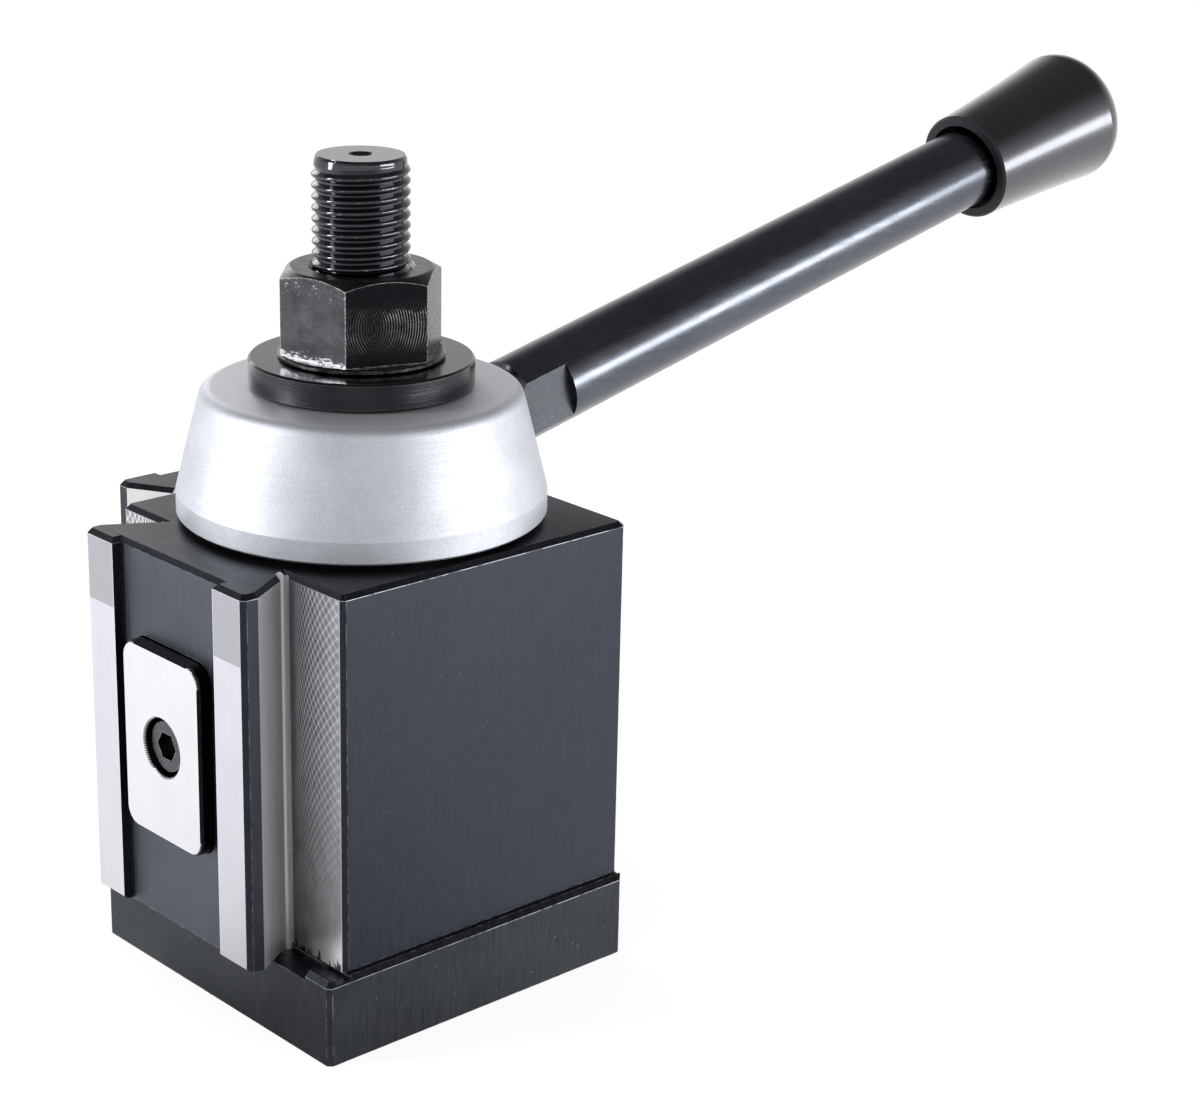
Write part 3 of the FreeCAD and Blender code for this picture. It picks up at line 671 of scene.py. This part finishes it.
# %% Handle finishes
rod_black = black_oxide(
    "oiled blackened bar", "#5a5d64", "#676a72", 0.23, (1.3, 9, 1.3), 0.25, 0.5, specks=0.1,
    relief=0.005)
flat_black = black_oxide(
    "milled wrench flat", "#4b4d51", "#66696e", 0.4, (1.6, 1.6, 0.5), 0.25, 0.6, specks=0.3)

handle_azimuth, handle_climb = radians(90.0), radians(13.1)
handle_root = Vector((0, 0, 116.1))     # mm, where the rod's axis meets the post's
handle_level = Vector((cos(handle_azimuth), sin(handle_azimuth), 0))
handle_axis = handle_level * cos(handle_climb) + Vector((0, 0, sin(handle_climb)))
handle_side = handle_level.cross(Vector((0, 0, 1)))
flat_distance = 8.0       # mm from the rod's axis to a flat


def is_wrench_flat(centre, normal):
    sideways = abs((centre - handle_root).dot(handle_side))
    return abs(normal.dot(handle_side)) > 0.999 and abs(sideways - flat_distance) < close


finish_faces("handle_rod", [(flat_black, is_wrench_flat), (rod_black, anything)])

# %% [markdown]
# ## Knob
#
# The knob is moulded phenolic plastic, black all through, polished and lacquered. The lacquer is a
# second skin over the first. Both mirror the studio, the lacquer crisply and the plastic softly,
# so the eye gets a deep black with a bright streak that has soft wings. The knob's near face is
# dull where the gate was faced off.

# %% Knob finishes
def phenolic(name, colour, lacquer, flow_size, low_rough, high_rough, depth):
    """Black plastic under lacquer, whose skin waves over flow_size and by depth millimetres."""
    material, tree, shader = new_material(name)
    flow = streaks(tree, (flow_size, flow_size, flow_size), 2.0)
    fill(shader, {
        "Base Color": linear(colour),
        "IOR": 1.6,
        "Specular IOR Level": 0.4 + 0.3 * lacquer,
        "Specular Tint": linear("#e9f0ff"),
        "Coat Weight": lacquer,
        "Coat Roughness": 0.18,
        "Roughness": add(tree, "MapRange", [flow, 0.3, 0.7, low_rough, high_rough]),
        "Normal": add(tree, "Bump", {"Height": flow, "Distance": depth * MM}),
    })
    return material


def is_knob_face(centre, normal):
    return normal.dot(handle_axis) < -0.5


moulded = phenolic("moulded phenolic", "#040405", 1.0, 14, 0.24, 0.30, 0.03)
faced = phenolic("faced phenolic", "#0b0b0c", 0.0, 0.4, 0.45, 0.60, 0.01)
finish_faces("handle_knob", [(faced, is_knob_face), (moulded, anything)])

# %% [markdown]
# ## The nut's milled arcs
#
# Each flat of the nut was faced with an end mill bigger than the flat, so it carries fine arcs. On
# each half of the flat they bend round a point some way beyond the flat's middle. They are drawn
# on the flat's own plane: the level direction across the flat's normal gives the place along it,
# and the height gives the rest. They fade towards the flat's ends and here and there between.

# %% Arcs on the nut's flats
nut_low, nut_high = [corner.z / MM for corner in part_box("clamp_nut")]
arc_pitch = 0.62          # mm between the mill's arcs, coarser than real so that they show
arc_beyond = 4.0          # mm past the flat's middle to the point that the arcs bend round


def mill_arcs(tree, aside, above, wander):
    """Ridges from 0 to 1, from the place on the flat aside of and above its middle."""
    sideways = add(tree, "Math", [aside], operation="ABSOLUTE")
    beyond = add(tree, "Math", [sideways, arc_beyond * MM], operation="ADD")
    on_flat = add(tree, "CombineXYZ", [beyond, above])
    away = add(tree, "VectorMath", [on_flat], out="Value", operation="LENGTH")
    phase = add(tree, "Math", [away, 2 * pi / (arc_pitch * MM)], operation="MULTIPLY")
    wave = add(tree, "Math", [phase], operation="SINE")
    ridges = add(tree, "MapRange", [wave, 0.25, 1, 0, 1])
    far_up = add(tree, "Math", [above], operation="ABSOLUTE")
    patchy = add(tree, "Math", [wander, 9 * MM, above], operation="MULTIPLY_ADD")
    for share in (
        add(tree, "MapRange", [far_up, 3.6 * MM, 6.4 * MM, 1, 0.05]),
        add(tree, "MapRange", [sideways, 1.0 * MM, 4.0 * MM, 0.25, 1]),
        add(tree, "MapRange", [patchy, 8.2 * MM, 9.4 * MM, 1, 0.12]),
        add(tree, "MapRange", [wander, 0.36, 0.60, 0.15, 1]),
    ):
        ridges = add(tree, "Math", [ridges, share], operation="MULTIPLY")
    return ridges


print("nut from", round(nut_low, 1), "to", round(nut_high, 1), "mm")

# %% [markdown]
# ## The nut's scuffs
#
# Spanners slipped on one flat and scuffed it bright, above all along its foot and a little along
# its top. A fine noise is held against a threshold that is lowest there, so that the scuffs are
# dense at the ends and rare between.

# %% Scuffs
def spanner_scuffs(tree, nicks, height, scuffed_lit_flat):
    """Nearly 1 on the scuffs of the handled flat."""
    near_foot = add(tree, "MapRange", [height, (nut_low + 1.5) * MM, (nut_low + 4.6) * MM, 0.42, 0.72])
    near_top = add(tree, "MapRange", [height, (nut_high - 6.5) * MM, (nut_high - 3.5) * MM, 0.75, 0.62])
    threshold = add(tree, "Math", [near_foot, near_top], operation="MINIMUM")
    scuffs = add(tree, "Math", [nicks, threshold], operation="SUBTRACT")
    scuffs = add(tree, "MapRange", [scuffs, -0.02, 0.05, 0, 0.9])
    return add(tree, "Math", [scuffs, scuffed_lit_flat], operation="MULTIPLY")


print("scuffs are densest below", round(nut_low + 1.5, 1), "mm")

# %% [markdown]
# ## The nut's metal
#
# The eye gets a blackened steel that is shiny but nicked, with bright arcs on its flats and worn
# edges. The scuffed flat is painted greyer and cloudier, as painted light. The other faces of the
# nut were turned, so they get a plain blackened finish with rubbed edges.

# %% Nut
scuffed_lit_facing = (0.198, -0.980, 0)     # the direction in which the scuffed flat faces, the flat that is painted lighter
nut_flat_distance = 16.5              # mm from the stud's axis to a flat


def milled_nut():
    material, tree, shader = new_material("blackened milled nut")
    place = add(tree, "TexCoord", out="Object")
    facing = add(tree, "TexCoord", out="Normal")
    height = add(tree, "SeparateXYZ", [place], out="Z")
    likeness = add(tree, "VectorMath", [facing, scuffed_lit_facing], out="Value", operation="DOT_PRODUCT")
    scuffed_lit_flat = add(tree, "MapRange", [likeness, 0.5, 0.99, 0, 1])

    level = add(tree, "VectorMath", [facing, (0, 0, 1)], operation="CROSS_PRODUCT")
    along = add(tree, "VectorMath", [place, level], out="Value", operation="DOT_PRODUCT")
    middle = add(tree, "MapRange", [scuffed_lit_flat, 0, 1, 3.0 * MM, -1.4 * MM])
    aside = add(tree, "Math", [along, middle], operation="SUBTRACT")
    above = add(tree, "Math", [height, (nut_low + nut_high) / 2 * MM], operation="SUBTRACT")
    wander = streaks(tree, (5, 5, 4), 4.0, 0.6)
    ridges = mill_arcs(tree, aside, above, wander)

    cloud = add(tree, "MapRange", [wander, 0.3, 0.7, 0.5, 1])
    # painted light: the scuffed flat's tone is painted greyer and cloudier
    painted_light_on_flat = add(tree, "MapRange", [scuffed_lit_flat, 0, 1, 0.0, 0.12])
    cloud = add(tree, "Math", [cloud, painted_light_on_flat], operation="MULTIPLY")
    arcs_show = add(tree, "MapRange", [scuffed_lit_flat, 0, 1, 0.42, 0.16])
    tone = add(tree, "Math", [ridges, arcs_show, cloud], operation="MULTIPLY_ADD")
    low, high = linear("#1d1e21"), linear("#c6c6cc")
    colour = add(tree, "Mix", {0: tone, 6: low, 7: high}, 2, data_type="RGBA")

    nicks = streaks(tree, (1.6, 1.6, 0.5), 5.0, 0.7)
    scuffs = spanner_scuffs(tree, nicks, height, scuffed_lit_flat)
    colour = add(tree, "Mix", {0: scuffs, 6: colour, 7: linear("#d6d6da")}, 2, data_type="RGBA")
    rubbed = add(tree, "MapRange", [nicks, 0.4, 0.6, 0.3, 0.95])
    worn = add(tree, "Math", [worn_edge(tree, 0.35, 0.975), rubbed], operation="MULTIPLY")
    under = add(tree, "Bump", {"Height": ridges, "Distance": 0.02 * MM})
    fill(shader, {
        "Base Color": add(tree, "Mix", {0: worn, 6: colour, 7: linear("#d2d2d6")}, 2, data_type="RGBA"),
        "Metallic": 1.0,
        "Roughness": add(tree, "MapRange", [nicks, 0.3, 0.7, 0.22, 0.36]),
        "Normal": add(tree, "Bump", {"Height": nicks, "Distance": 0.008 * MM, "Normal": under}),
    })
    return material


def is_nut_flat(centre, normal):
    return abs(normal.z) < 0.01 and abs(centre.xy.dot(normal.xy) - nut_flat_distance) < 0.02


# The turned faces are a shiny black with fine rings and bright edges.
turned_black = black_oxide(
    "blackened turned nut", "#3a3b3f", "#47484c", 0.28, (3, 3, 0.4), 0.3, 0.95)
finish_faces("clamp_nut", [(milled_nut(), is_nut_flat), (turned_black, anything)])

# %% [markdown]
# ## Washer
#
# The washer was turned, blackened and oiled. The eye gets a dark, wet shine with a faintly brown
# cast from years of chips and fingers. Short bright scratches run round it, and its two rims are
# rubbed a little.

# %% Washer
washer_feed = 0.45        # mm from ring to ring, coarser than real so that it shows


def turned_oxide():
    material, tree, shader = new_material("oiled turned washer")
    cloud = add(tree, "MapRange", [streaks(tree, (10, 10, 14)), 0.3, 0.7, 0, 1])
    low, high = linear("#38383f"), linear("#4a474b")
    colour = add(tree, "Mix", {0: cloud, 6: low, 7: high}, 2, data_type="RGBA")
    scratches = add(tree, "MapRange", [streaks(tree, (1.2, 1.2, 0.35), 4.0), 0.66, 0.74, 0, 0.5])
    colour = add(tree, "Mix", {0: scratches, 6: colour, 7: linear("#a49a95")}, 2, data_type="RGBA")
    worn = add(tree, "Math", [worn_edge(tree, 0.25), 0.6], operation="MULTIPLY")
    under = add(tree, "Bump", {"Height": rings(tree, washer_feed), "Distance": 0.0012 * MM})
    turned_lines = streaks(tree, (40, 40, 0.35), 2.0)
    fill(shader, {
        "Base Color": add(tree, "Mix", {0: worn, 6: colour, 7: linear("#b9b2ae")}, 2, data_type="RGBA"),
        "Metallic": 1.0,
        "Roughness": add(tree, "MapRange", [cloud, 0, 1, 0.15, 0.22]),
        "Normal": add(tree, "Bump", {"Height": turned_lines, "Distance": 0.05 * MM, "Normal": under}),
    })
    return material


finish_faces("clamp_washer", [(turned_oxide(), anything)])

# %% [markdown]
# ## The thread's outline
#
# The model's stud is a plain rod of the thread's outer size. A thread is one tooth swept round the
# axis while it climbs by one pitch per turn. The tooth's outline is a few points: root, flank,
# crest, flank. Its crest has its corners broken, because a knife edge would catch no light.

# %% Thread outline
stud_low, stud_high = [corner.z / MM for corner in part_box("clamp_stud")]
stud_radius = 11.0        # all of these in mm
pitch = 2.5
thread_depth = 0.95       # what the worn and oiled thread shows of its depth
crest_width = 1.0
root_width = 0.4
crest_corner = 0.44       # radius


def thread_tooth():
    """One pitch of the thread's outline as (radius, height)."""
    root, crest = stud_radius - thread_depth, stud_radius
    flank = (pitch - crest_width - root_width) / 2
    low_side, high_side = root_width + flank, root_width + flank + crest_width
    angles = [radians(degrees) for degrees in (30, 50, 70, 90)]
    corner = [(crest_corner * cos(angle), crest_corner * sin(angle)) for angle in angles]
    inner = crest - crest_corner
    under = [(inner + rise, low_side + crest_corner - run) for run, rise in corner]
    over = [(inner + rise, high_side - crest_corner + run) for run, rise in reversed(corner)]
    return [(root, 0), (root, root_width)] + under + over + [(root, pitch)]


print("thread from", round(stud_low, 1), "to", round(stud_high, 1), "mm, tooth", thread_tooth()[2])

# %% [markdown]
# ## Where the thread starts and ends
#
# A real thread doesn't start in the air: the bar is turned smaller at its end, and the thread fades
# out at its inner end where the tool is withdrawn. Two rules say this for any height: the largest
# radius the bar has there, and the share of its full depth that the thread has.

# %% Thread ends
tip_radius, bevel_radius, lead_radius = 9.75, 10.2, 10.45     # mm, at the top, below its bevel, below that
tip_bevel = 0.7           # mm down from the top
lead = 2.2                # mm turned down at the top
foot_chamfer = 1.2        # mm
upper_thread = 52.0       # mm of thread at the top
lower_thread = 34.0       # mm of thread at the foot


def smooth(value, low, high):
    """0 up to low, 1 from high, and an easy S between them."""
    t = min(1, max(0, (value - low) / (high - low)))
    return t * t * (3 - 2 * t)


def largest_radius(height):
    """The bar's radius at a height, in mm, before the thread is cut."""
    below_top, above_foot = stud_high - height, height - stud_low
    top = tip_radius + (bevel_radius - tip_radius) * smooth(below_top, 0, tip_bevel)
    top += (lead_radius - bevel_radius) * smooth(below_top, tip_bevel, lead)
    top += (stud_radius - lead_radius) * smooth(below_top, lead, lead + 1.2)
    return min(top, stud_radius - foot_chamfer + min(foot_chamfer, above_foot))


def thread_share(height):
    """1 where the thread has its full depth, 0 where the bar is plain."""
    below_top, above_foot = stud_high - height, height - stud_low
    upper = 1 - smooth(below_top, upper_thread - 2 * pitch, upper_thread)
    lower = 1 - smooth(above_foot, lower_thread - 2 * pitch, lower_thread)
    ends = smooth(below_top, 0.9, lead + 1.5) * smooth(above_foot, 0.2, 2.5)
    return max(upper, lower) * ends


for height in (stud_high, stud_high - lead, stud_high - 10, 60, stud_low):
    print("at", round(height, 1), "radius", round(largest_radius(height), 2), thread_share(height))

# %% [markdown]
# ## Cutting the thread
#
# bmesh's spin turns the outline round the axis, and does a helix when it is given a step to move
# by. One turn is spun and copies of it are stacked, because spinning all the turns at once is slow.
# Each turn's last edge lies on the next turn's first, so merging them closes the skin.

# %% Spin one turn and stack it
turn_steps = 56
merged = 0.002            # mm, points nearer than this become one

stud_bm = bmesh.new()
tooth = [stud_bm.verts.new((r, 0, stud_low - pitch + z)) for r, z in thread_tooth()]
outline = tooth + [stud_bm.edges.new(pair) for pair in zip(tooth, tooth[1:])]
bmesh.ops.spin(
    stud_bm, geom=outline, axis=(0, 0, 1), dvec=(0, 0, pitch / turn_steps),
    angle=2 * pi, steps=turn_steps)
one_turn = stud_bm.verts[:] + stud_bm.edges[:] + stud_bm.faces[:]
spare_turns = 3           # that stick out at the ends and are cut off
turns = int((stud_high - stud_low) / pitch) + spare_turns
for step in range(1, turns):
    copies = bmesh.ops.duplicate(stud_bm, geom=one_turn)["geom"]
    points = [part for part in copies if isinstance(part, bmesh.types.BMVert)]
    bmesh.ops.translate(stud_bm, vec=(0, 0, step * pitch), verts=points)
bmesh.ops.remove_doubles(stud_bm, verts=stud_bm.verts, dist=merged)
print(turns, "turns of thread,", len(stud_bm.faces), "faces")

# %% [markdown]
# ## Trimming the stud
#
# Two cuts trim the helix to the stud's length. Every point is then held to the two rules: it is
# moved along its own radius, to where the bar's outline and the thread's share of it say. The two
# open ends are filled, each with one face, and all faces are turned outwards.

# %% Trim and close the stud
for height, outwards in ((stud_high, 1), (stud_low, -1)):
    everything = stud_bm.verts[:] + stud_bm.edges[:] + stud_bm.faces[:]
    bmesh.ops.bisect_plane(
        stud_bm, geom=everything, plane_co=(0, 0, height), plane_no=(0, 0, outwards), clear_outer=True)
for vert in stud_bm.verts:
    radius, limit = hypot(vert.co.x, vert.co.y), largest_radius(vert.co.z)
    cut = (limit - min(radius, limit)) * thread_share(vert.co.z)
    vert.co.x *= (limit - cut) / radius
    vert.co.y *= (limit - cut) / radius
bmesh.ops.remove_doubles(stud_bm, verts=stud_bm.verts, dist=merged)
open_edges = [edge for edge in stud_bm.edges if edge.is_boundary]
stud_ends = bmesh.ops.holes_fill(stud_bm, edges=open_edges)["faces"]
bmesh.ops.recalc_face_normals(stud_bm, faces=stud_bm.faces)
print("stud:", len(stud_bm.faces), "faces,", len(stud_ends), "ends filled")

# %% [markdown]
# ## The stud's centre hole
#
# The bar was held between centres while it was turned, so its end has a small drilled hole with a
# countersunk mouth. The end's face is extruded three times, and each time its points are drawn in
# to a radius and sunk: the first makes the mouth's rim, the next the cone, the last the hole.

# %% Centre hole
mouth_radius, hole_radius, cone_depth, hole_depth = 2.8, 1.6, 1.6, 6.0     # mm

upper_end = max(stud_ends, key=lambda face: face.calc_center_median().z)
for radius, sink in ((mouth_radius, 0), (hole_radius, cone_depth), (hole_radius, hole_depth - cone_depth)):
    upper_end = bmesh.ops.extrude_discrete_faces(stud_bm, faces=[upper_end])["faces"][0]
    for vert in upper_end.verts:
        drawn_in = radius / hypot(vert.co.x, vert.co.y)
        vert.co = (vert.co.x * drawn_in, vert.co.y * drawn_in, vert.co.z - sink)
print("the hole ends at", round(upper_end.calc_center_median().z, 1))

# %% The finished stud
crease = radians(25)      # edges sharper than this stay crisp under smooth shading

bmesh.ops.scale(stud_bm, vec=(MM, MM, MM), verts=stud_bm.verts)
stud_mesh = bpy.data.meshes.new("threaded_stud")
stud_bm.to_mesh(stud_mesh)
stud_bm.free()
for face in stud_mesh.polygons:
    face.use_smooth = True
stud_mesh.set_sharp_from_angle(angle=crease)
stud = bpy.data.objects.new("threaded_stud", stud_mesh)
scene.collection.objects.link(stud)
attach(stud, "stud")
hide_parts("clamp_stud")
print("threaded stud:", len(stud_mesh.polygons), "faces")

# %% [markdown]
# ## The stud's finish
#
# The stud is blackened and wet with oil, which the eye gets as nearly a black mirror, full of small
# sharp lights. The crests are rubbed to bare steel here and there by the nut.

# %% Stud finish
def oiled_thread():
    material, tree, shader = new_material("oiled blackened thread")
    place = add(tree, "TexCoord", out="Object")
    flattened = add(tree, "VectorMath", [place, (1, 1, 0)], operation="MULTIPLY")
    radius = add(tree, "VectorMath", [flattened], out="Value", operation="LENGTH")
    crest = add(tree, "MapRange", [radius, (stud_radius - 0.12) * MM, (stud_radius - 0.01) * MM, 0, 1])
    nicks = streaks(tree, (1.3, 1.3, 0.9), 4.0, 0.65)
    rubbed = add(tree, "MapRange", [nicks, 0.58, 0.70, 0.0, 0.7])
    worn = add(tree, "Math", [crest, rubbed], operation="MULTIPLY")
    low, high = linear("#505156"), linear("#a9aaaf")
    fill(shader, {
        "Base Color": add(tree, "Mix", {0: worn, 6: low, 7: high}, 2, data_type="RGBA"),
        "Metallic": 1.0,
        "Roughness": add(tree, "MapRange", [nicks, 0.3, 0.7, 0.04, 0.11]),
        "Normal": add(tree, "Bump", {"Height": nicks, "Distance": 0.012 * MM}),
    })
    return material


stud_mesh.materials.append(oiled_thread())
print("stud finished with", stud_mesh.materials[0].name)

# %% [markdown]
# ## Pieces inside
#
# Most of the rest is out of sight until the post comes apart, but each piece still gets what it is
# made of: turned steel for the sleeve, the spindle and the pistons, dark tempered steel for the
# springs and rings, bronze for the thrust washer and brass for the knob's insert.

# %% Inner pieces
def plain_metal(name, shade, bright, roughness, size):
    """A metal whose tone wanders over size = (x, y, z) millimetres."""
    material, tree, shader = new_material(name)
    cloud = add(tree, "MapRange", [streaks(tree, size), 0.3, 0.7, 0, 1])
    low, high = linear(shade), linear(bright)
    fill(shader, {
        "Base Color": add(tree, "Mix", {0: cloud, 6: low, 7: high}, 2, data_type="RGBA"),
        "Metallic": 1.0,
        "Roughness": add(tree, "MapRange", [cloud, 0, 1, roughness - 0.05, roughness + 0.08]),
        "Normal": add(tree, "Bump", {"Height": cloud, "Distance": 0.003 * MM}),
    })
    return material


# Turned steel looks a clean mid grey, with fine level lines from the lathe.
turned_steel = plain_metal("turned steel", "#8f9094", "#b3b4b8", 0.3, (12, 12, 0.5))

# Tempering leaves springs and rings a dark, glossy blue-black.
tempered_steel = plain_metal("tempered spring steel", "#2a2b30", "#3c3d44", 0.3, (3, 3, 3))

# Bronze looks a warm brown, and brass a paler yellow with a brighter shine.
bronze = plain_metal("turned bronze", "#8a6238", "#a87b48", 0.3, (6, 6, 6))
brass = plain_metal("turned brass", "#a88a4c", "#c2a463", 0.28, (6, 6, 6))

finish_faces("cam_thrust_washer", [(bronze, anything)])
finish_faces("knob_insert", [(brass, anything)])
for name in ("center_sleeve", "cam_spindle"):
    finish_faces(name, [(turned_steel, anything)])
for side in ("front", "side"):
    for piece in ("_piston", "_spring_washer"):
        finish_faces(side + piece, [(turned_steel, anything)])
    for piece in ("_return_spring", "_retaining_ring"):
        finish_faces(side + piece, [(tempered_steel, anything)])

# %% [markdown]
# ## The end
#
# The dressed post has to stay inside the model's own box.

# %% End
print("done")
